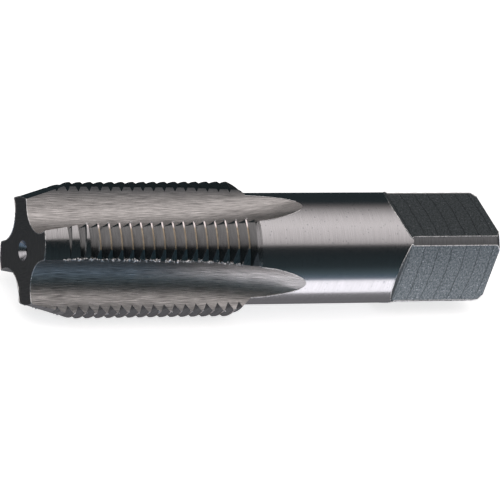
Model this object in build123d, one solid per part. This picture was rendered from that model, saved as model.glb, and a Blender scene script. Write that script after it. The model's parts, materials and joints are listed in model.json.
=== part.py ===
from build123d import *
import math
import os

# A straight-flute hand tap for a 1/2-14 straight pipe thread, in millimetres.
# It is drawn standing on its cutting end, along +Z, and laid down at the end of the script.

# Lengths, the first three from the cutting end's face
overall_length = 79.375
thread_length = 34.925
flute_length = 45.4
square_length = 16.2

# Thread: 14 threads to the inch, right hand, 60 degrees, sharp at the root and flat at the crest
pitch = 25.4 / 14
major_radius = 10.51
crest_width = 0.24
thread_half_angle = 30.0
thread_start = 1.69
thread_end_bevel = 2.0

# Chamfer that starts the cut: a cone for each land, shifted sideways for relief behind its edge
chamfer_angle = 16.0
chamfer_radius = 8.46
chamfer_relief = 1.2

# Flutes: raked cutting face, round bottom, open heel. The web thickens towards the shank,
# then each flute leaves it in two steeper passes.
flute_count = 4
flute_radius = 4.6
flute_offset = 0.3
flute_face_angle = 20.0
flute_heel_angle = 45.0
web_radius = 4.85
web_taper = 2.0
ramp_angle_1 = 7.5
ramp_angle_2 = 13.2
ramp_length_2 = 6.0

# Relief on the back of each land: a flat along the thread that takes the crests down towards
# the heel. It faces a little to the heel's side of the flute's middle.
heel_flat_depth = 1.1
heel_flat_angle = 12.3

# Shank and drive square, with one flat in line with each flute. The corners are turned down
# from a small shoulder, set back from the start of the flats.
shank_radius = 8.731
square_width = 13.08
square_start_angle = 45.0
square_corner_radius = 8.555
square_corner_setback = 0.35
end_chamfer_width = 0.65
end_chamfer_length = 0.75

# Lathe centre in each end: a 60 degree countersink and a pilot hole
centre_mouth_radius = 1.6
centre_pilot_radius = 1.0
centre_half_angle = 30.0
centre_depth = 3.0

# Roll about its axis at which the tap lies on two lands
rest_roll = 4.48

# How far the cutting shapes reach past the metal. The thread's reach stays small, so that
# two neighbouring gaps don't meet over the crest.
overcut = 1.0
thread_overcut = 0.15


def slope(angle):
    return math.tan(math.radians(angle))


def blank():
    """Turned blank: thread body, bevel, shank, turned-down corners and end chamfer."""
    corner_start = overall_length - square_length + square_corner_setback
    outline = Polyline(
        (0, 0),
        (major_radius, 0),
        (major_radius, thread_length),
        (shank_radius, thread_length + thread_end_bevel),
        (shank_radius, corner_start),
        (square_corner_radius, corner_start),
        (square_corner_radius, overall_length - end_chamfer_length),
        (square_corner_radius - end_chamfer_width, overall_length),
        (0, overall_length),
        close=True,
    )
    return revolve(Plane.XZ * make_face(outline), Axis.Z)


def flute_section():
    """Cross-section of a flute that opens along +X, with the web's surface at the origin."""
    face_angle = math.radians(flute_face_angle)
    heel_angle = math.radians(flute_heel_angle)
    centre = Vector(flute_radius, flute_offset)
    bottom = Vector(0, flute_offset)
    face = centre + Vector(-math.sin(face_angle), math.cos(face_angle)) * flute_radius
    heel = centre - Vector(math.sin(heel_angle), math.cos(heel_angle)) * flute_radius
    out = major_radius
    face_out = face.Y + (out - face.X) * slope(flute_face_angle)
    heel_out = heel.Y - (out - heel.X) * slope(flute_heel_angle)
    rim = Polyline(face, (out, face_out), (out, heel_out), heel)
    return make_face([ThreePointArc(heel, bottom, face), rim])


def flute_cutter():
    """The flute on +X: along the tapered web, then up both ramp passes and out of the shank."""
    start_z = -overcut
    end_z = flute_length + ramp_length_2
    bend_z_2 = flute_length - ramp_length_2
    bend_r_2 = shank_radius - ramp_length_2 * slope(ramp_angle_2)
    rise_1 = bend_r_2 - web_radius - bend_z_2 * slope(ramp_angle_1)
    bend_z_1 = rise_1 / (slope(web_taper) - slope(ramp_angle_1))
    start = Vector(web_radius + start_z * slope(web_taper), 0, start_z)
    bend_1 = Vector(web_radius + bend_z_1 * slope(web_taper), 0, bend_z_1)
    bend_2 = Vector(bend_r_2, 0, bend_z_2)
    end = Vector(shank_radius + ramp_length_2 * slope(ramp_angle_2), 0, end_z)
    along = (bend_1 - start).normalized()
    section_plane = Plane(origin=start, x_dir=(along.Z, 0, -along.X), z_dir=along)
    path = Polyline(start, bend_1, bend_2, end)
    return sweep(section_plane * flute_section(), path=path, transition=Transition.RIGHT)


def chamfer_cutter():
    """What the chamfer takes off the land between the flutes on +X and +Y."""
    land_angle = math.radians(180 / flute_count)
    height = (major_radius + chamfer_relief + overcut - chamfer_radius) / slope(chamfer_angle)
    low_radius = chamfer_radius - overcut * slope(chamfer_angle)
    high_radius = chamfer_radius + height * slope(chamfer_angle)
    from_below = (Align.CENTER, Align.CENTER, Align.MIN)
    cone = Cone(low_radius, high_radius, height + overcut, align=from_below)
    shift = Pos(chamfer_relief * math.sin(land_angle), -chamfer_relief * math.cos(land_angle))
    side = major_radius + overcut
    land = Box(side, side, height + overcut, align=Align.MIN)
    return Pos(0, 0, -overcut) * (land - shift * cone)


def heel_flat_cutter():
    """What the relief takes off the heel of the land behind the flute on +X."""
    from_axis = (Align.MIN, Align.CENTER, Align.MIN)
    length = thread_length + thread_end_bevel + overcut
    block = Box(heel_flat_depth + overcut, 2 * major_radius, length, align=from_axis)
    return Rot(0, 0, -heel_flat_angle) * Pos(major_radius - heel_flat_depth, 0, -overcut) * block


def thread_gap():
    """The V between two crests of the land between +X and +Y: a quarter turn of the helix."""
    root_radius = major_radius - (pitch - crest_width) / 2 / slope(thread_half_angle)
    top_radius = major_radius + thread_overcut
    half_width = (top_radius - root_radius) * slope(thread_half_angle)
    corners = [(root_radius, 0), (top_radius, -half_width), (top_radius, half_width)]
    section = Plane.XZ * make_face(Polyline(*corners, close=True))
    path = Helix(pitch, pitch / flute_count, root_radius)
    return sweep(section, path=path, is_frenet=True)


def thread_gaps():
    """Every gap of the thread, land by land up the helix, from the face out through the end bevel."""
    gap = thread_gap()
    step = pitch / flute_count
    first = -flute_count
    last = math.ceil((thread_length + thread_end_bevel - thread_start) / step)
    gaps = []
    for index in range(first, last):
        rise = Pos(0, 0, thread_start + index * step)
        gaps.append(rise * Rot(0, 0, index * 360 / flute_count) * gap)
    return gaps


def flat_cutter():
    """The flat of the square on +X, with the slope that leads down to it from the shank."""
    flat = square_width / 2
    out = shank_radius + overcut
    start = overall_length - square_length
    slope_start = start - (out - flat) / slope(square_start_angle)
    end = overall_length + overcut
    corners = [(flat, start), (out, slope_start), (out, end), (flat, end)]
    return extrude(Plane.XZ * make_face(Polyline(*corners, close=True)), out, both=True)


def lathe_centre():
    """Countersink and pilot hole in a face at the origin, going up."""
    mouth = centre_mouth_radius + overcut * slope(centre_half_angle)
    sink = (centre_mouth_radius - centre_pilot_radius) / slope(centre_half_angle)
    outline = Polyline(
        (0, -overcut),
        (mouth, -overcut),
        (centre_pilot_radius, sink),
        (centre_pilot_radius, centre_depth),
        (0, centre_depth),
        close=True,
    )
    return revolve(Plane.XZ * make_face(outline), Axis.Z)


def thread_tap():
    tap = blank() - lathe_centre()
    tap -= Pos(0, 0, overall_length) * Rot(180, 0, 0) * lathe_centre()
    for index in range(flute_count):
        turn = Rot(0, 0, index * 360 / flute_count)
        tap -= turn * flute_cutter()
        tap -= turn * chamfer_cutter()
        tap -= turn * heel_flat_cutter()
        tap -= turn * flat_cutter()
    return tap - thread_gaps()


def laid_down(tap):
    """The tap at rest on two lands: cutting end towards -X, one flute and one flat nearly upwards."""
    along_x = Plane(origin=(-overall_length / 2, 0, 0), x_dir=(0, 0, 1), z_dir=(1, 0, 0))
    lying = Rot(rest_roll, 0, 0) * (along_x.location * tap)
    return Pos(0, 0, -lying.bounding_box().min.Z) * lying


os.makedirs("parts", exist_ok=True)
part = laid_down(thread_tap())
part.label = "thread_tap"
export_step(part, "parts/thread_tap.step")
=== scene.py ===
import json
import math

import bmesh
import bpy
from mathutils import Matrix, Vector

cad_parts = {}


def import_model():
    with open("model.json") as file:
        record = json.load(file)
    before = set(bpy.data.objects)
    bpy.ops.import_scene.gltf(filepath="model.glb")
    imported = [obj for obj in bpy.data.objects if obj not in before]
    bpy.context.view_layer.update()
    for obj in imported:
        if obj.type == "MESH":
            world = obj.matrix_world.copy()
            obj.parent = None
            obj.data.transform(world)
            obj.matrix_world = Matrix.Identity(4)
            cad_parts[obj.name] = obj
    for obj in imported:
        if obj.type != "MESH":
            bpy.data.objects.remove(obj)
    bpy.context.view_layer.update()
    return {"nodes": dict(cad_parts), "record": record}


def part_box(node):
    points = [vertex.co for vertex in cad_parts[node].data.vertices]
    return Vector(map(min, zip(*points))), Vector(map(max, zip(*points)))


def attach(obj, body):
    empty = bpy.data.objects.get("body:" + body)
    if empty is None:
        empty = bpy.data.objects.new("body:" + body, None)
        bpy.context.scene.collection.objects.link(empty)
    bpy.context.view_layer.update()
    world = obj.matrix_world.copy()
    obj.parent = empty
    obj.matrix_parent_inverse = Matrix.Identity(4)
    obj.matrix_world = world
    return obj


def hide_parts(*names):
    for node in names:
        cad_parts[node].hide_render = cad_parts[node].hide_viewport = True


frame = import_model()

MM = 0.001

# The tap lies along X with its cutting end at the lower X. Its axis is that of the shank mount,
# and the roll at which it rests on two lands is the turn of the square's upper flat.
MOUNTS = {mount["name"]: mount for mount in frame["record"]["mounts"]}
SHANK = MOUNTS["shank"]
TAP_LOW, TAP_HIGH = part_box("thread_tap")
TAP_LENGTH = TAP_HIGH.x - TAP_LOW.x
AXIS_Y = SHANK["pos_m"][1]
AXIS_Z = SHANK["pos_m"][2]
MIDDLE = Vector(((TAP_LOW.x + TAP_HIGH.x) / 2, AXIS_Y, AXIS_Z))
REST_ROLL = math.atan2(-MOUNTS["square_top"]["axis"][1], MOUNTS["square_top"]["axis"][2])

# Places along the tap, from its cutting end. The slopes lead from the shank to the square's flats.
CHAMFER_END = 9.5 * MM
THREAD_END = 34.93 * MM
BEVEL_END = 36.93 * MM
SLOPE_START = 60.9 * MM
SLOPE_END = 63.3 * MM

# Distances from the tap's axis
ROOT_RADIUS = 9.15 * MM
MAJOR_RADIUS = 10.51 * MM
SHANK_RADIUS = SHANK["dims"]["r_mm"] * MM
CORNER_RADIUS = 8.555 * MM
FLUTE_AXIS_RADIUS = 10.6 * MM
BURR_RADIUS = 8.6 * MM

# Other sizes of the tap. Those of its lathe centres are a little past the holes' own, and the
# heel half of a land starts halfway between two flutes.
THREAD_PITCH = 25.4 / 14 * MM
FLUTE_RADIUS = 4.6 * MM
CENTRE_RADIUS = 1.65 * MM
CENTRE_DEPTH = 3.1 * MM
PILOT_RADIUS = 1.155 * MM
QUARTER = math.pi / 2
HEEL_TURN = QUARTER / 2

# How far from a size a face may lie and still belong to the form that has it
END_REACH = 0.01 * MM
SHANK_REACH = 0.02 * MM
CREST_REACH = 0.05 * MM
BEVEL_REACH = 0.1 * MM
FLANK_REACH = 0.3 * MM
CORNER_REACH = 1.0 * MM

# Which way a face looks, as the cosine from its normal to the way out from the axis
ROUND_FACE = 0.999
CREST_FACE = 0.995
CHAMFER_FACE = 0.93
HEEL_FACE = 0.8

# The same, to the plane through the axis for a turned face, and to the axis for the others
TURNED_FACE = 0.998
END_FACE = 0.99
FLANK_FACE = 0.6
CHAMFER_LEAN = -0.15

# Points nearer than this become one, and faces that meet at a smaller angle shade as one
MERGE = 0.0005 * MM
WIRE_MERGE = 0.001 * MM
SMOOTH_ANGLE = math.radians(24)

# Wear along the edges. A bead is nowhere thinner than this share of its width, and each side of
# a flake is between two shares of its size.
BEAD_SIDES = 5
THINNEST_BEAD = 0.35
SMALLEST_FLAKE = (0.35, 0.25, 0.25)
LARGEST_FLAKE = (1.3, 0.9, 0.9)
FULL_TURN = (2 * math.pi, 2 * math.pi, 2 * math.pi)

# Seeds of what is random in the wear
WEAR_SEED = 5
SCATTER_SEED = 11
CHOICE_SEED = 3
STRETCH_SEED = 7
TURN_SEED = 9

# Cards of the studio: how far they are from the tap's axis and reach along it, and the degrees
# from one of their rows to the next
CARD_DISTANCE = 0.7
CARD_REACH = 12.0
CARD_STEP = 4.0

# Places along the tap, from its middle, with the share of a card's light there. The strip comes
# up at the middle and the card under the tap is dim far beyond the cutting end.
EVEN_ENDS = ((-CARD_REACH, 1), (CARD_REACH, 1))
STRIP_DISTANCE = 40.0 * MM
STRIP_ENDS = (
    (-4.0 * MM, 0),
    (11.0 * MM, 1),
    (38.0 * MM, 1),
    (46.0 * MM, 0.95),
    (CARD_REACH, 0.95),
)
UNDER_ENDS = ((-CARD_REACH, 0.1), (-1.4, 0.1), (-0.9, 1), (CARD_REACH, 1))

# Colours of the light that the cards give
WARM = (1.0, 0.955, 0.955)
COOL = (0.95, 0.94, 1.0)
DUSK = (0.62, 0.88, 1.0)
NIGHT = (0.58, 0.8, 1.08)

# Floor and world: their greys, and what the floor adds to its own where the camera sees it
FLOOR_REACH = 4.0
FLOOR_GREY = (0.8, 0.8, 0.8)
FLOOR_GLOW = 0.75
WORLD_DARK = (0.03, 0.03, 0.03)
WHITE = (1, 1, 1)


def from_axis(point):
    """The way from the tap's axis straight out to a point."""
    return Vector((0, point.y - AXIS_Y, point.z - AXIS_Z))


def round_the_axis(point):
    """Distance along the tap from its cutting end, out from its axis, and turn from its upper flute."""
    out = from_axis(point)
    turn = math.atan2(-out.y, out.z) - REST_ROLL
    return point.x - TAP_LOW.x, out.length, math.remainder(turn, 2 * math.pi)


def finish_of(face):
    """Which finish a face of the tap has, told from its place and the way it looks.

    The tests go from the ends inwards. A face that none of them names belongs to a flute.
    """
    middle = face.calc_center_median()
    along, out, _ = round_the_axis(middle)
    facing_out = face.normal.dot(from_axis(middle).normalized())
    facing_back = face.normal.x
    rim = max(round_the_axis(v.co)[1] for v in face.verts)
    from_end = min(along, TAP_LENGTH - along)
    countersink = rim < CENTRE_RADIUS and from_end < CENTRE_DEPTH and abs(facing_back) < END_FACE
    if countersink or rim < PILOT_RADIUS:
        return "drilled_centre"
    if from_end < END_REACH:
        return "faced_end"
    if along > SLOPE_START:
        return finish_of_square(along, out, rim, facing_out, facing_back)
    if facing_out > ROUND_FACE and abs(rim - SHANK_RADIUS) < SHANK_REACH:
        return "ground_shank"
    flank = abs(facing_back) > FLANK_FACE
    if flank and along < BEVEL_END + BEVEL_REACH and out > ROOT_RADIUS - FLANK_REACH:
        return "ground_thread"
    if along < THREAD_END and facing_out > CREST_FACE and out > MAJOR_RADIUS - CREST_REACH:
        return "worn_crest_and_painted_highlight"
    if along < CHAMFER_END and facing_out > CHAMFER_FACE and facing_back < CHAMFER_LEAN:
        return "ground_chamfer"
    if along < THREAD_END and facing_out > HEEL_FACE and out > ROOT_RADIUS:
        return "relieved_heel"
    return "ground_flute"


def finish_of_square(along, out, rim, facing_out, facing_back):
    """The same from the start of the slopes: the shank between them, the flats and the corners."""
    between_slopes = along < SLOPE_END
    if between_slopes and facing_out > ROUND_FACE and rim > SHANK_RADIUS - SHANK_REACH:
        return "ground_shank"
    turned = math.hypot(facing_out, facing_back) > TURNED_FACE and out > CORNER_RADIUS - CORNER_REACH
    slope = between_slopes and facing_back > FLANK_FACE
    return "turned_corner" if turned and not slope else "milled_square"


def grain_of(finish, point):
    """Where a point lies along and across the marks that its finish leaves, in millimetres."""
    along, out, turn = round_the_axis(point)
    from_flute = turn - round(turn / QUARTER) * QUARTER
    if finish == "ground_flute":
        across = math.atan2(out * math.sin(from_flute), FLUTE_AXIS_RADIUS - out * math.cos(from_flute))
        return along / MM, across * FLUTE_RADIUS / MM
    if finish == "worn_crest_and_painted_highlight":
        return (turn % QUARTER) * out / MM, along / MM
    if finish in ("ground_thread", "ground_chamfer", "relieved_heel"):
        return turn * out / MM, (along - turn / (2 * math.pi) * THREAD_PITCH) / MM
    if finish in ("ground_shank", "turned_corner", "drilled_centre"):
        return turn * out / MM, along / MM
    if finish == "milled_square":
        return math.sin(from_flute) * out / MM, along / MM
    return turn * out / MM, out / MM


def dressed_tap(node):
    """The tap's own surface, with its finishes and the run of their marks.

    With it come the sharp edges between two finishes: the names of both, and the edge's ends.
    """
    mesh = bpy.data.meshes.new("ground_tap")
    shape = bmesh.new()
    shape.from_mesh(node.data)
    bmesh.ops.remove_doubles(shape, verts=shape.verts, dist=MERGE)
    bmesh.ops.dissolve_degenerate(shape, edges=shape.edges, dist=MERGE)
    shape.normal_update()
    marks = shape.loops.layers.uv.new("grain")
    for face in shape.faces:
        finish = finish_of(face)
        face.material_index = FINISHES.index(finish)
        face.smooth = True
        for loop in face.loops:
            loop[marks].uv = grain_of(finish, loop.vert.co)
    borders = []
    for edge in shape.edges:
        edge.smooth = edge.is_manifold and edge.calc_face_angle(0) < SMOOTH_ANGLE
        sides = {FINISHES[face.material_index] for face in edge.link_faces}
        if len(sides) == 2 and not edge.smooth:
            borders.append((sides, [v.co.copy() for v in edge.verts]))
    shape.to_mesh(mesh)
    shape.free()
    round_the_shank(mesh)
    tap = bpy.data.objects.new("ground_tap", mesh)
    bpy.context.scene.collection.objects.link(tap)
    return tap, borders


def round_the_shank(mesh):
    """The shank's facets shade as the true cylinder."""
    shank = FINISHES.index("ground_shank")
    normals = [corner.vector.copy() for corner in mesh.corner_normals]
    for face in mesh.polygons:
        if face.material_index == shank:
            for loop in face.loop_indices:
                normals[loop] = from_axis(mesh.vertices[mesh.loops[loop].vertex_index].co).normalized()
    mesh.normals_split_custom_set(normals)


def land_turn(point):
    """Turn of a point within its quarter, from the middle of the flute on the cutting edge's side."""
    return round_the_axis(point)[2] % QUARTER


def rim_edges(borders):
    """Edges that stand out bright: round the flutes and the chamfer, and along the square."""
    pairs = [
        {"ground_flute", "faced_end"},
        {"ground_flute", "ground_shank"},
        {"ground_chamfer", "faced_end"},
        {"milled_square", "turned_corner"},
        {"milled_square", "ground_shank"},
    ]
    return [ends for sides, ends in borders if sides in pairs]


def burr_edges(borders):
    """Edges with a burr: the heel edge of two lands, where the relief runs into the flute."""
    ragged = []
    for sides, ends in borders:
        if "ground_flute" in sides and "faced_end" not in sides and all(map(has_burr, ends)):
            ragged.append(ends)
    return ragged


def has_burr(point):
    """Far out on the heel half of a land, on the front side and short of the thread's end."""
    along, out, turn = round_the_axis(point)
    heel = land_turn(point) > HEEL_TURN and out > BURR_RADIUS
    return heel and 0 < turn < math.pi and along < THREAD_END - THREAD_PITCH / 2


def tip_edges(borders):
    """Short edges where the crests meet the cutting face."""
    tips = []
    for sides, ends in borders:
        if sides == {"ground_flute", "worn_crest_and_painted_highlight"} and all(land_turn(end) < HEEL_TURN for end in ends):
            tips.append(ends)
    return tips


def wire(name, edges):
    """Chosen edges of the tap as a mesh without faces, for a tree that follows them."""
    shape = bmesh.new()
    for first, last in edges:
        shape.edges.new((shape.verts.new(first), shape.verts.new(last)))
    bmesh.ops.remove_doubles(shape, verts=shape.verts, dist=WIRE_MERGE)
    mesh = bpy.data.meshes.new(name)
    shape.to_mesh(mesh)
    shape.free()
    obj = bpy.data.objects.new(name, mesh)
    bpy.context.scene.collection.objects.link(obj)
    return obj


def geometry_tree(name, sizes):
    """An empty geometry tree with a geometry input and output, a material and named sizes."""
    tree = bpy.data.node_groups.new(name, "GeometryNodeTree")
    tree.interface.new_socket(name="Geometry", in_out="INPUT", socket_type="NodeSocketGeometry")
    tree.interface.new_socket(name="Material", in_out="INPUT", socket_type="NodeSocketMaterial")
    for size in sizes:
        tree.interface.new_socket(name=size, in_out="INPUT", socket_type="NodeSocketFloat")
    tree.interface.new_socket(name="Geometry", in_out="OUTPUT", socket_type="NodeSocketGeometry")
    return tree, tree.nodes.new("NodeGroupInput"), tree.nodes.new("NodeGroupOutput")


def close_tree(tree, given, result, geometry):
    """The end of every tree: real geometry, with its material."""
    real = tree.nodes.new("GeometryNodeRealizeInstances")
    dressed = tree.nodes.new("GeometryNodeSetMaterial")
    tree.links.new(geometry, real.inputs["Geometry"])
    tree.links.new(real.outputs["Geometry"], dressed.inputs["Geometry"])
    tree.links.new(given.outputs["Material"], dressed.inputs["Material"])
    tree.links.new(dressed.outputs["Geometry"], result.inputs["Geometry"])


def random_number(tree, seed, low, high):
    """A random number for each point. The node takes a number's limits on inputs 2 and 3."""
    node = tree.nodes.new("FunctionNodeRandomValue")
    node.inputs[2].default_value = low
    node.inputs[3].default_value = high
    node.inputs["Seed"].default_value = seed
    return node.outputs[1]


def random_vector(tree, seed, low, high):
    """Three random numbers for each point. The node takes their limits on inputs 0 and 1."""
    node = tree.nodes.new("FunctionNodeRandomValue")
    node.data_type = "FLOAT_VECTOR"
    node.inputs[0].default_value = low
    node.inputs[1].default_value = high
    node.inputs["Seed"].default_value = seed
    return node.outputs[0]


def random_choice(tree, seed, share):
    """A random yes or no for each point, yes for a share of them that a socket gives."""
    node = tree.nodes.new("FunctionNodeRandomValue")
    node.data_type = "BOOLEAN"
    node.inputs["Seed"].default_value = seed
    tree.links.new(share, node.inputs["Probability"])
    return node.outputs[3]


def rim_tree():
    """A thin uneven bead along every edge."""
    tree, given, result = geometry_tree("edge_bead", ["Width", "Step"])
    link = tree.links.new
    line = tree.nodes.new("GeometryNodeMeshToCurve")
    even = tree.nodes.new("GeometryNodeResampleCurve")
    even.mode = "LENGTH"
    ring = tree.nodes.new("GeometryNodeCurvePrimitiveCircle")
    ring.inputs["Resolution"].default_value = BEAD_SIDES
    bead = tree.nodes.new("GeometryNodeCurveToMesh")
    bead.inputs["Fill Caps"].default_value = True
    link(given.outputs["Geometry"], line.inputs["Mesh"])
    link(line.outputs["Curve"], even.inputs["Curve"])
    link(given.outputs["Step"], even.inputs["Length"])
    link(math_node(tree, "MULTIPLY", given.outputs["Width"], 0.5), ring.inputs["Radius"])
    link(even.outputs["Curve"], bead.inputs["Curve"])
    link(ring.outputs["Curve"], bead.inputs["Profile Curve"])
    link(random_number(tree, WEAR_SEED, THINNEST_BEAD, 1), bead.inputs["Scale"])
    close_tree(tree, given, result, bead.outputs["Mesh"])
    return tree


def burr_tree():
    """Torn flakes of metal scattered along every edge."""
    tree, given, result = geometry_tree("burr_flakes", ["Size", "Spacing", "Share", "Scatter"])
    link = tree.links.new
    line = tree.nodes.new("GeometryNodeMeshToCurve")
    spots = tree.nodes.new("GeometryNodeCurveToPoints")
    spots.mode = "LENGTH"
    shift = random_vector(tree, SCATTER_SEED, (-1, -1, -1), (1, 1, 1))
    moved = tree.nodes.new("GeometryNodeSetPosition")
    flake = tree.nodes.new("GeometryNodeMeshIcoSphere")
    flake.inputs["Subdivisions"].default_value = 1
    chosen = random_choice(tree, CHOICE_SEED, given.outputs["Share"])
    stretch = random_vector(tree, STRETCH_SEED, SMALLEST_FLAKE, LARGEST_FLAKE)
    turned = random_vector(tree, TURN_SEED, (0, 0, 0), FULL_TURN)
    placed_flakes = tree.nodes.new("GeometryNodeInstanceOnPoints")
    link(given.outputs["Geometry"], line.inputs["Mesh"])
    link(line.outputs["Curve"], spots.inputs["Curve"])
    link(given.outputs["Spacing"], spots.inputs["Length"])
    link(spots.outputs["Points"], moved.inputs["Geometry"])
    link(scaled(tree, shift, given.outputs["Scatter"]), moved.inputs["Offset"])
    link(moved.outputs["Geometry"], placed_flakes.inputs["Points"])
    link(math_node(tree, "MULTIPLY", given.outputs["Size"], 0.5), flake.inputs["Radius"])
    link(flake.outputs["Mesh"], placed_flakes.inputs["Instance"])
    link(chosen, placed_flakes.inputs["Selection"])
    link(turned, placed_flakes.inputs["Rotation"])
    link(stretch, placed_flakes.inputs["Scale"])
    close_tree(tree, given, result, placed_flakes.outputs["Instances"])
    return tree


def grown(name, edges, tree, values):
    """The plain mesh that a geometry tree makes along the chosen edges, riding with the tap."""
    source = wire(name + "_line", edges)
    modifier = source.modifiers.new("tree", "NODES")
    modifier.node_group = tree
    for item in tree.interface.items_tree:
        if item.in_out == "INPUT" and item.name in values:
            modifier[item.identifier] = values[item.name]
    evaluated = source.evaluated_get(bpy.context.evaluated_depsgraph_get())
    mesh = bpy.data.meshes.new_from_object(evaluated)
    mesh.name = name
    piece = bpy.data.objects.new(name, mesh)
    bpy.context.scene.collection.objects.link(piece)
    bpy.data.objects.remove(source)
    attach(piece, "root")


def effect_group(name, sizes, effect):
    """An empty shader node group that takes a vector and named sizes, and gives one number."""
    group = bpy.data.node_groups.new(name, "ShaderNodeTree")
    group.interface.new_socket(name="Vector", in_out="INPUT", socket_type="NodeSocketVector")
    for size in sizes:
        group.interface.new_socket(name=size, in_out="INPUT", socket_type="NodeSocketFloat")
    group.interface.new_socket(name=effect, in_out="OUTPUT", socket_type="NodeSocketFloat")
    return group, group.nodes.new("NodeGroupInput"), group.nodes.new("NodeGroupOutput")


def feed(tree, socket, value):
    """Give an input its value: another node's output, a number or a colour's three parts."""
    if isinstance(value, bpy.types.NodeSocket):
        tree.links.new(value, socket)
    elif isinstance(value, tuple):
        socket.default_value = (*value, 1)
    else:
        socket.default_value = value


def math_node(tree, operation, first, second):
    """The result of a Math node on two sockets or numbers."""
    node = tree.nodes.new("ShaderNodeMath")
    node.operation = operation
    feed(tree, node.inputs[0], first)
    feed(tree, node.inputs[1], second)
    return node.outputs[0]


def scaled(tree, vector, scale):
    """A vector times a number."""
    node = tree.nodes.new("ShaderNodeVectorMath")
    node.operation = "SCALE"
    feed(tree, node.inputs[0], vector)
    feed(tree, node.inputs["Scale"], scale)
    return node.outputs[0]


def mixed(tree, share, first, second):
    """A colour between two others. A Mix node has its colours on inputs 6 and 7 and on output 2."""
    node = tree.nodes.new("ShaderNodeMix")
    node.data_type = "RGBA"
    feed(tree, node.inputs[0], share)
    feed(tree, node.inputs[6], first)
    feed(tree, node.inputs[7], second)
    return node.outputs[2]


def spread(tree, value, low, high, ends=(0, 1)):
    """A value stretched so that low becomes the first of the ends and high the second."""
    node = tree.nodes.new("ShaderNodeMapRange")
    feed(tree, node.inputs["Value"], value)
    feed(tree, node.inputs["From Min"], low)
    feed(tree, node.inputs["From Max"], high)
    feed(tree, node.inputs["To Min"], ends[0])
    feed(tree, node.inputs["To Max"], ends[1])
    return node.outputs["Result"]


def streak_group():
    """Marks that a wheel or a lathe tool leaves: streaks along the map's first coordinate.

    The noise keeps near its middle, so it is stretched to give both dark and light streaks.
    """
    group, given, result = effect_group("machining_streaks", ["Length", "Width"], "Streaks")
    link = group.links.new
    split = group.nodes.new("ShaderNodeSeparateXYZ")
    join = group.nodes.new("ShaderNodeCombineXYZ")
    noise = group.nodes.new("ShaderNodeTexNoise")
    noise.inputs["Scale"].default_value = 1.0
    noise.inputs["Detail"].default_value = 3.0
    noise.inputs["Roughness"].default_value = 0.6
    link(given.outputs["Vector"], split.inputs[0])
    link(math_node(group, "DIVIDE", split.outputs[0], given.outputs["Length"]), join.inputs[0])
    link(math_node(group, "DIVIDE", split.outputs[1], given.outputs["Width"]), join.inputs[1])
    link(join.outputs[0], noise.inputs["Vector"])
    link(spread(group, noise.outputs["Fac"], low=0.37, high=0.63), result.inputs["Streaks"])
    return group


def fleck_group():
    """Small round flecks: pits, dust and torn grain that catch the light.

    A share of the pattern's cells has one, with a radius of up to half a cell.
    """
    group, given, result = effect_group("bright_flecks", ["Size", "Share"], "Flecks")
    link = group.links.new
    cells = group.nodes.new("ShaderNodeTexVoronoi")
    pick = group.nodes.new("ShaderNodeSeparateColor")
    link(given.outputs["Vector"], cells.inputs["Vector"])
    link(math_node(group, "DIVIDE", 1.0, given.outputs["Size"]), cells.inputs["Scale"])
    link(cells.outputs["Color"], pick.inputs[0])
    chosen = math_node(group, "LESS_THAN", pick.outputs[0], given.outputs["Share"])
    radius = math_node(group, "MULTIPLY", pick.outputs[1], 0.5)
    inside = math_node(group, "LESS_THAN", cells.outputs["Distance"], radius)
    link(math_node(group, "MULTIPLY", chosen, inside), result.inputs["Flecks"])
    return group


def placed(tree, group, vector, **values):
    """A node group placed in a material with its own values, named as the group's inputs are."""
    node = tree.nodes.new("ShaderNodeGroup")
    node.node_tree = group
    tree.links.new(vector, node.inputs["Vector"])
    for label, value in values.items():
        node.inputs[label.capitalize()].default_value = value
    return node.outputs[0]


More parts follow.
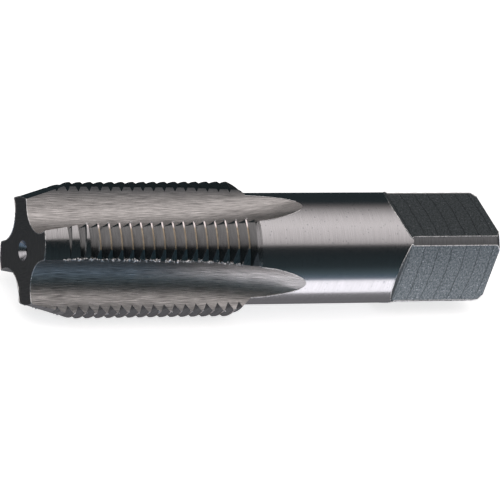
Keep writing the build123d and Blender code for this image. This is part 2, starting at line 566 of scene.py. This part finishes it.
class Steel:
    """A steel surface under way: its colour, roughness and relief are added to one by one.

    Its two roughnesses are those of the dark and the light streaks. Its marks follow the piece's
    own map, in millimetres, or without one the place on the object.
    """

    def __init__(self, name, dark, light, roughness, mapped=True):
        self.material = bpy.data.materials.new(name)
        self.material.use_nodes = True
        self.tree = self.material.node_tree
        self.shader = self.tree.nodes["Principled BSDF"]
        self.shader.inputs["Metallic"].default_value = 1
        self.dark = dark
        self.light = light
        self.roughness = roughness
        self.grain = self.place_on_map() if mapped else self.place_on_object()
        self.color = None
        self.relief = None

    def place_on_map(self):
        grain = self.tree.nodes.new("ShaderNodeUVMap")
        grain.uv_map = "grain"
        return grain.outputs["UV"]

    def place_on_object(self):
        places = self.tree.nodes.new("ShaderNodeTexCoord")
        return scaled(self.tree, places.outputs["Object"], 1 / MM)

    def streaks(self, length, width, depth):
        """Streaks that shade the steel from dark to light, change its gloss and raise it."""
        lines = placed(self.tree, STREAKS, self.grain, length=length, width=width)
        self.color = mixed(self.tree, lines, self.dark, self.light)
        feed(self.tree, self.shader.inputs["Roughness"], spread(self.tree, lines, 0, 1, self.roughness))
        self.relief = math_node(self.tree, "MULTIPLY", lines, depth * MM)

    def flecks(self, size, share, color):
        """Flecks of one colour over the streaks."""
        spots = placed(self.tree, FLECKS, self.grain, size=size, share=share)
        self.color = mixed(self.tree, spots, self.color, color)

    def split_grain(self):
        """The map's two coordinates, and a third that is always zero."""
        split = self.tree.nodes.new("ShaderNodeSeparateXYZ")
        self.tree.links.new(self.grain, split.inputs[0])
        return split.outputs

    def shade_beside(self, place, start, full, color):
        """Turn to another colour as one of the map's coordinates goes from start to full."""
        self.color = mixed(self.tree, spread(self.tree, place, start, full), self.color, color)

    def grooves(self, place, spacing, width, depth, color):
        """Fine grooves at even steps of one of the map's coordinates."""
        phase = math_node(self.tree, "PINGPONG", place, spacing / 2)
        groove = spread(self.tree, phase, width / 2, 0)
        self.color = mixed(self.tree, groove, self.color, color)
        cut = math_node(self.tree, "MULTIPLY", groove, depth * MM)
        self.relief = math_node(self.tree, "SUBTRACT", self.relief, cut)

    def brushed(self, amount):
        """Gloss spread across the streaks and kept along them.

        The tangent runs along the streaks, and a rotation of 0.25 turns it a quarter, across them.
        """
        along = self.tree.nodes.new("ShaderNodeTangent")
        along.direction_type = "UV_MAP"
        along.uv_map = "grain"
        self.tree.links.new(along.outputs["Tangent"], self.shader.inputs["Tangent"])
        self.shader.inputs["Anisotropic"].default_value = amount
        self.shader.inputs["Anisotropic Rotation"].default_value = 0.25

    def finished(self):
        """The material, once its colour and relief have reached the shader."""
        self.tree.links.new(self.color, self.shader.inputs["Base Color"])
        bump = self.tree.nodes.new("ShaderNodeBump")
        bump.inputs["Distance"].default_value = 1.0
        self.tree.links.new(self.relief, bump.inputs["Height"])
        self.tree.links.new(bump.outputs["Normal"], self.shader.inputs["Normal"])
        return self.material


def ground_flute():
    """Long fine lines that the grinding wheel left along the flute, and painted shade that darkens it
    towards the heel.
    """
    steel = Steel("ground_flute", (0.25, 0.24, 0.232), (0.74, 0.71, 0.69), (0.33, 0.27))
    steel.streaks(length=3.0, width=0.08, depth=0.008)
    across = steel.split_grain()[1]
    # Painted shade: the flute's colour turns dark grey towards the heel edge, where its reflection is
    # darker.
    steel.shade_beside(across, start=-3.3, full=-5.2, color=(0.13, 0.135, 0.14))
    steel.brushed(amount=0.8)
    return steel.finished()


def ground_thread():
    """Smooth flanks, with fine lines that follow the helix."""
    steel = Steel("ground_thread", (0.35, 0.35, 0.35), (0.45, 0.45, 0.45), (0.17, 0.12))
    steel.streaks(length=3.0, width=0.12, depth=0.001)
    return steel.finished()


def worn_crest_and_painted_highlight():
    """Tan from wear, with a painted highlight, near white, over the first millimetre behind the cutting
    edge.
    """
    steel = Steel("worn_crest_and_painted_highlight", (0.26, 0.21, 0.15), (0.42, 0.35, 0.26), (0.35, 0.25))
    steel.streaks(length=0.8, width=0.2, depth=0.001)
    round_land = steel.split_grain()[0]
    # Painted highlight: the crest's colour turns near white towards the cutting edge.
    steel.shade_beside(round_land, start=6.2, full=5.7, color=(0.98, 0.88, 0.86))
    return steel.finished()


def relieved_heel():
    """The relief behind the crests, in dark colours that are painted shade on the heel half of each
    land.
    """
    # Painted shade: the relief's colours are dark to stand in for the shade that falls on it.
    steel = Steel("relieved_heel", (0.08, 0.105, 0.11), (0.15, 0.185, 0.19), (0.4, 0.3))
    steel.streaks(length=0.6, width=0.3, depth=0.002)
    return steel.finished()


def ground_chamfer():
    """Bright, with fine lines that follow the helix, as on the flanks."""
    steel = Steel("ground_chamfer", (0.46, 0.45, 0.45), (0.6, 0.59, 0.59), (0.16, 0.12))
    steel.streaks(length=5.0, width=0.12, depth=0.001)
    return steel.finished()


def ground_shank():
    """Cylindrical grinding: hair lines round the shank, with fine pits."""
    steel = Steel("ground_shank", (0.5, 0.49, 0.495), (0.56, 0.55, 0.555), (0.205, 0.175))
    steel.streaks(length=4.0, width=0.1, depth=0.0006)
    steel.flecks(size=0.27, share=0.12, color=(0.4, 0.4, 0.41))
    return steel.finished()


def milled_square():
    """Dull milled flats, with torn grain and a bowed, wandering feed mark every few millimetres."""
    steel = Steel("milled_square", (0.095, 0.115, 0.12), (0.22, 0.24, 0.25), (0.49, 0.39))
    steel.streaks(length=0.4, width=0.26, depth=0.009)
    steel.flecks(size=0.26, share=0.08, color=(0.36, 0.38, 0.4))
    bow_per_square_mm = 0.012
    wander_mm = 0.22
    across, along, _ = steel.split_grain()
    squared = math_node(steel.tree, "MULTIPLY", across, across)
    bow = math_node(steel.tree, "MULTIPLY", squared, bow_per_square_mm)
    streaks = placed(steel.tree, STREAKS, steel.grain, length=2.5, width=1.5)
    wander = math_node(steel.tree, "MULTIPLY", streaks, wander_mm)
    bowed = math_node(steel.tree, "ADD", along, bow)
    feed_marks = math_node(steel.tree, "ADD", bowed, wander)
    steel.grooves(feed_marks, spacing=2.45, width=0.24, depth=0.02, color=(0.06, 0.07, 0.075))
    return steel.finished()


def turned_corner():
    """Dull turned steel, with the lathe's marks round the tap."""
    steel = Steel("turned_corner", (0.17, 0.175, 0.18), (0.22, 0.225, 0.23), (0.5, 0.42))
    steel.streaks(length=2.0, width=0.15, depth=0.002)
    return steel.finished()


def faced_end():
    """Plain turned steel, with the lathe's marks in rings."""
    steel = Steel("faced_end", (0.38, 0.375, 0.37), (0.48, 0.475, 0.465), (0.36, 0.28))
    steel.streaks(length=2.0, width=0.2, depth=0.001)
    return steel.finished()


def drilled_centre():
    """Bright, as a centre drill leaves it."""
    steel = Steel("drilled_centre", (0.4, 0.4, 0.42), (0.6, 0.6, 0.62), (0.28, 0.2))
    steel.streaks(length=1.5, width=0.1, depth=0.001)
    return steel.finished()


def bright_burr():
    """Freshly torn metal on the edges and the flakes, which have no map."""
    steel = Steel("bright_burr", (0.85, 0.84, 0.83), (0.98, 0.97, 0.96), (0.42, 0.2), mapped=False)
    steel.streaks(length=0.3, width=0.3, depth=0.004)
    return steel.finished()


# A maker for each finish, in the order of the tap's material slots. A finish has its maker's name.
MAKERS = [
    ground_flute,
    ground_thread,
    worn_crest_and_painted_highlight,
    relieved_heel,
    ground_chamfer,
    ground_shank,
    milled_square,
    turned_corner,
    faced_end,
    drilled_centre,
]
FINISHES = [make.__name__ for make in MAKERS]


def view_like_photograph():
    """Camera at the photograph's angle, aimed a little beside the tap's middle.

    The roll levels the tap's axis in the picture.
    """
    azimuth = math.radians(31.52)
    elevation = math.radians(30.19)
    roll = math.radians(16.61)
    distance = 893.5 * MM
    aim = MIDDLE + Vector((-0.51, 0.095, -0.325)) * MM
    flat = Vector((math.sin(azimuth), math.cos(azimuth), 0))
    forward = flat * math.cos(elevation) - Vector((0, 0, math.sin(elevation)))
    level = forward.cross(Vector((0, 0, 1))).normalized()
    upright = level.cross(forward)
    right = level * math.cos(roll) + upright * math.sin(roll)
    up = upright * math.cos(roll) - level * math.sin(roll)
    camera = bpy.data.objects.new("camera", bpy.data.cameras.new("camera"))
    camera.data.sensor_width = 36
    camera.data.lens = 411.3
    camera.data.clip_start = 0.05
    camera.data.clip_end = 20
    turned = Matrix((right, up, -forward)).transposed().to_4x4()
    camera.matrix_world = Matrix.Translation(aim - forward * distance) @ turned
    bpy.context.scene.collection.objects.link(camera)
    bpy.context.scene.camera = camera


def studio_light():
    """Material of the studio's cards: each shines with the colour that its own mesh holds."""
    material = bpy.data.materials.new("studio_light")
    material.use_nodes = True
    tree = material.node_tree
    tree.nodes.clear()
    output = tree.nodes.new("ShaderNodeOutputMaterial")
    emission = tree.nodes.new("ShaderNodeEmission")
    light = tree.nodes.new("ShaderNodeAttribute")
    light.attribute_name = "light"
    tree.links.new(light.outputs["Color"], emission.inputs["Color"])
    tree.links.new(emission.outputs["Emission"], output.inputs["Surface"])
    return material


def arc_card(name, material, stops, distance=CARD_DISTANCE, ends=EVEN_ENDS):
    """A long card bent round the tap's axis.

    Each stop is a turn from the upper flute, in degrees, and the light there.
    """
    places = []
    for (turn_a, light_a), (turn_b, light_b) in zip(stops, stops[1:]):
        steps = max(1, math.ceil((turn_b - turn_a) / CARD_STEP))
        for step in range(steps + 1):
            share = step / steps
            light = [a + (b - a) * share for a, b in zip(light_a, light_b)]
            places.append((turn_a + (turn_b - turn_a) * share, light))
    points = []
    lights = []
    for turn, light in places:
        angle = math.radians(turn) + REST_ROLL
        y = AXIS_Y - distance * math.sin(angle)
        z = AXIS_Z + distance * math.cos(angle)
        for x, share in ends:
            points.append((x, y, z))
            lights.append([share * part for part in light])
    columns = len(ends)
    faces = []
    for row in range(len(places) - 1):
        for column in range(columns - 1):
            corner = row * columns + column
            faces.append((corner, corner + 1, corner + columns + 1, corner + columns))
    mesh = bpy.data.meshes.new(name)
    mesh.from_pydata(points, [], faces)
    colours = mesh.attributes.new("light", "FLOAT_COLOR", "POINT")
    for index, light in enumerate(lights):
        colours.data[index].color = (*light, 1)
    mesh.materials.append(material)
    obj = bpy.data.objects.new(name, mesh)
    obj.visible_camera = False
    obj.visible_shadow = False
    bpy.context.scene.collection.objects.link(obj)


def seen_as_white(tree):
    """One for the rays of the camera, of a gloss and of glass, and zero for the rest."""
    path = tree.nodes.new("ShaderNodeLightPath")
    glossy = math_node(tree, "MAXIMUM", path.outputs["Is Camera Ray"], path.outputs["Is Glossy Ray"])
    return math_node(tree, "MAXIMUM", glossy, path.outputs["Is Transmission Ray"])


def floor():
    """A pale floor that keeps the tap's shadow, and that the metal doesn't see."""
    mesh = bpy.data.meshes.new("floor")
    far = FLOOR_REACH
    corners = [(-far, -far, 0), (far, -far, 0), (far, far, 0), (-far, far, 0)]
    mesh.from_pydata(corners, [], [(0, 1, 2, 3)])
    material = bpy.data.materials.new("white_floor")
    material.use_nodes = True
    tree = material.node_tree
    tree.nodes.clear()
    output = tree.nodes.new("ShaderNodeOutputMaterial")
    diffuse = tree.nodes.new("ShaderNodeBsdfDiffuse")
    emission = tree.nodes.new("ShaderNodeEmission")
    both = tree.nodes.new("ShaderNodeAddShader")
    glow = math_node(tree, "MULTIPLY", seen_as_white(tree), FLOOR_GLOW)
    feed(tree, diffuse.inputs["Color"], FLOOR_GREY)
    feed(tree, emission.inputs["Strength"], glow)
    feed(tree, both.inputs[0], diffuse.outputs[0])
    feed(tree, both.inputs[1], emission.outputs[0])
    feed(tree, output.inputs["Surface"], both.outputs[0])
    mesh.materials.append(material)
    obj = bpy.data.objects.new("floor", mesh)
    obj.visible_glossy = False
    bpy.context.scene.collection.objects.link(obj)


def tint(level, color):
    """A colour of light at a level."""
    return [level * part for part in color]


def studio():
    """Softbox above, strip light low in front, dim card under the tap and dark flags between."""
    floor()
    material = studio_light()
    arc_card("overhead_softbox", material, [
        (-56, tint(0.04, DUSK)),
        (-45, tint(0.17, WARM)),
        (-33, tint(0.47, WARM)),
        (-14, tint(0.90, WARM)),
        (4, tint(1.05, WARM)),
        (30, tint(0.85, WARM)),
        (45, tint(0.6, WARM)),
    ])
    arc_card("front_flag", material, [
        (45, tint(0.02, DUSK)),
        (92, tint(0.06, DUSK)),
        (106, tint(0.16, DUSK)),
        (121, tint(0.31, NIGHT)),
        (156, tint(0.31, NIGHT)),
    ])
    strip = [(115, tint(1.9, COOL)), (148, tint(1.9, COOL))]
    arc_card("front_strip", material, strip, STRIP_DISTANCE, STRIP_ENDS)
    arc_card("under_card", material, [
        (156, tint(0.38, COOL)),
        (180, tint(0.25, COOL)),
        (208, tint(0.2, COOL)),
        (232, tint(0.06, COOL)),
    ], ends=UNDER_ENDS)
    arc_card("back_flag", material, [(232, tint(0.036, DUSK)), (304, tint(0.04, DUSK))])


def world():
    """Nearly black for what lights the object, and white to look at."""
    scene_world = bpy.data.worlds.new("world")
    bpy.context.scene.world = scene_world
    scene_world.use_nodes = True
    tree = scene_world.node_tree
    background = tree.nodes["Background"]
    feed(tree, background.inputs["Color"], mixed(tree, seen_as_white(tree), WORLD_DARK, WHITE))


# Camera and stage
view_like_photograph()
bpy.context.scene.view_settings.view_transform = "Standard"
studio()
world()

# The tap and its finishes, which share two effects
tap, borders = dressed_tap(frame["nodes"]["thread_tap"])
STREAKS = streak_group()
FLECKS = fleck_group()
for make in MAKERS:
    tap.data.materials.append(make())

# Wear along the tap's edges
torn = bright_burr()
beads = {"Material": torn, "Width": 0.22 * MM, "Step": 0.25 * MM}
grown("bright_edges", rim_edges(borders), rim_tree(), beads)
flakes = {"Material": torn, "Size": 0.46 * MM, "Spacing": 0.18 * MM, "Share": 0.7, "Scatter": 0.15 * MM}
burrs = burr_tree()
grown("heel_burrs", burr_edges(borders), burrs, flakes)
grown("tip_burrs", tip_edges(borders), burrs, {**flakes, "Size": 0.32 * MM, "Spacing": 0.1 * MM})

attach(tap, "root")
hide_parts("thread_tap")
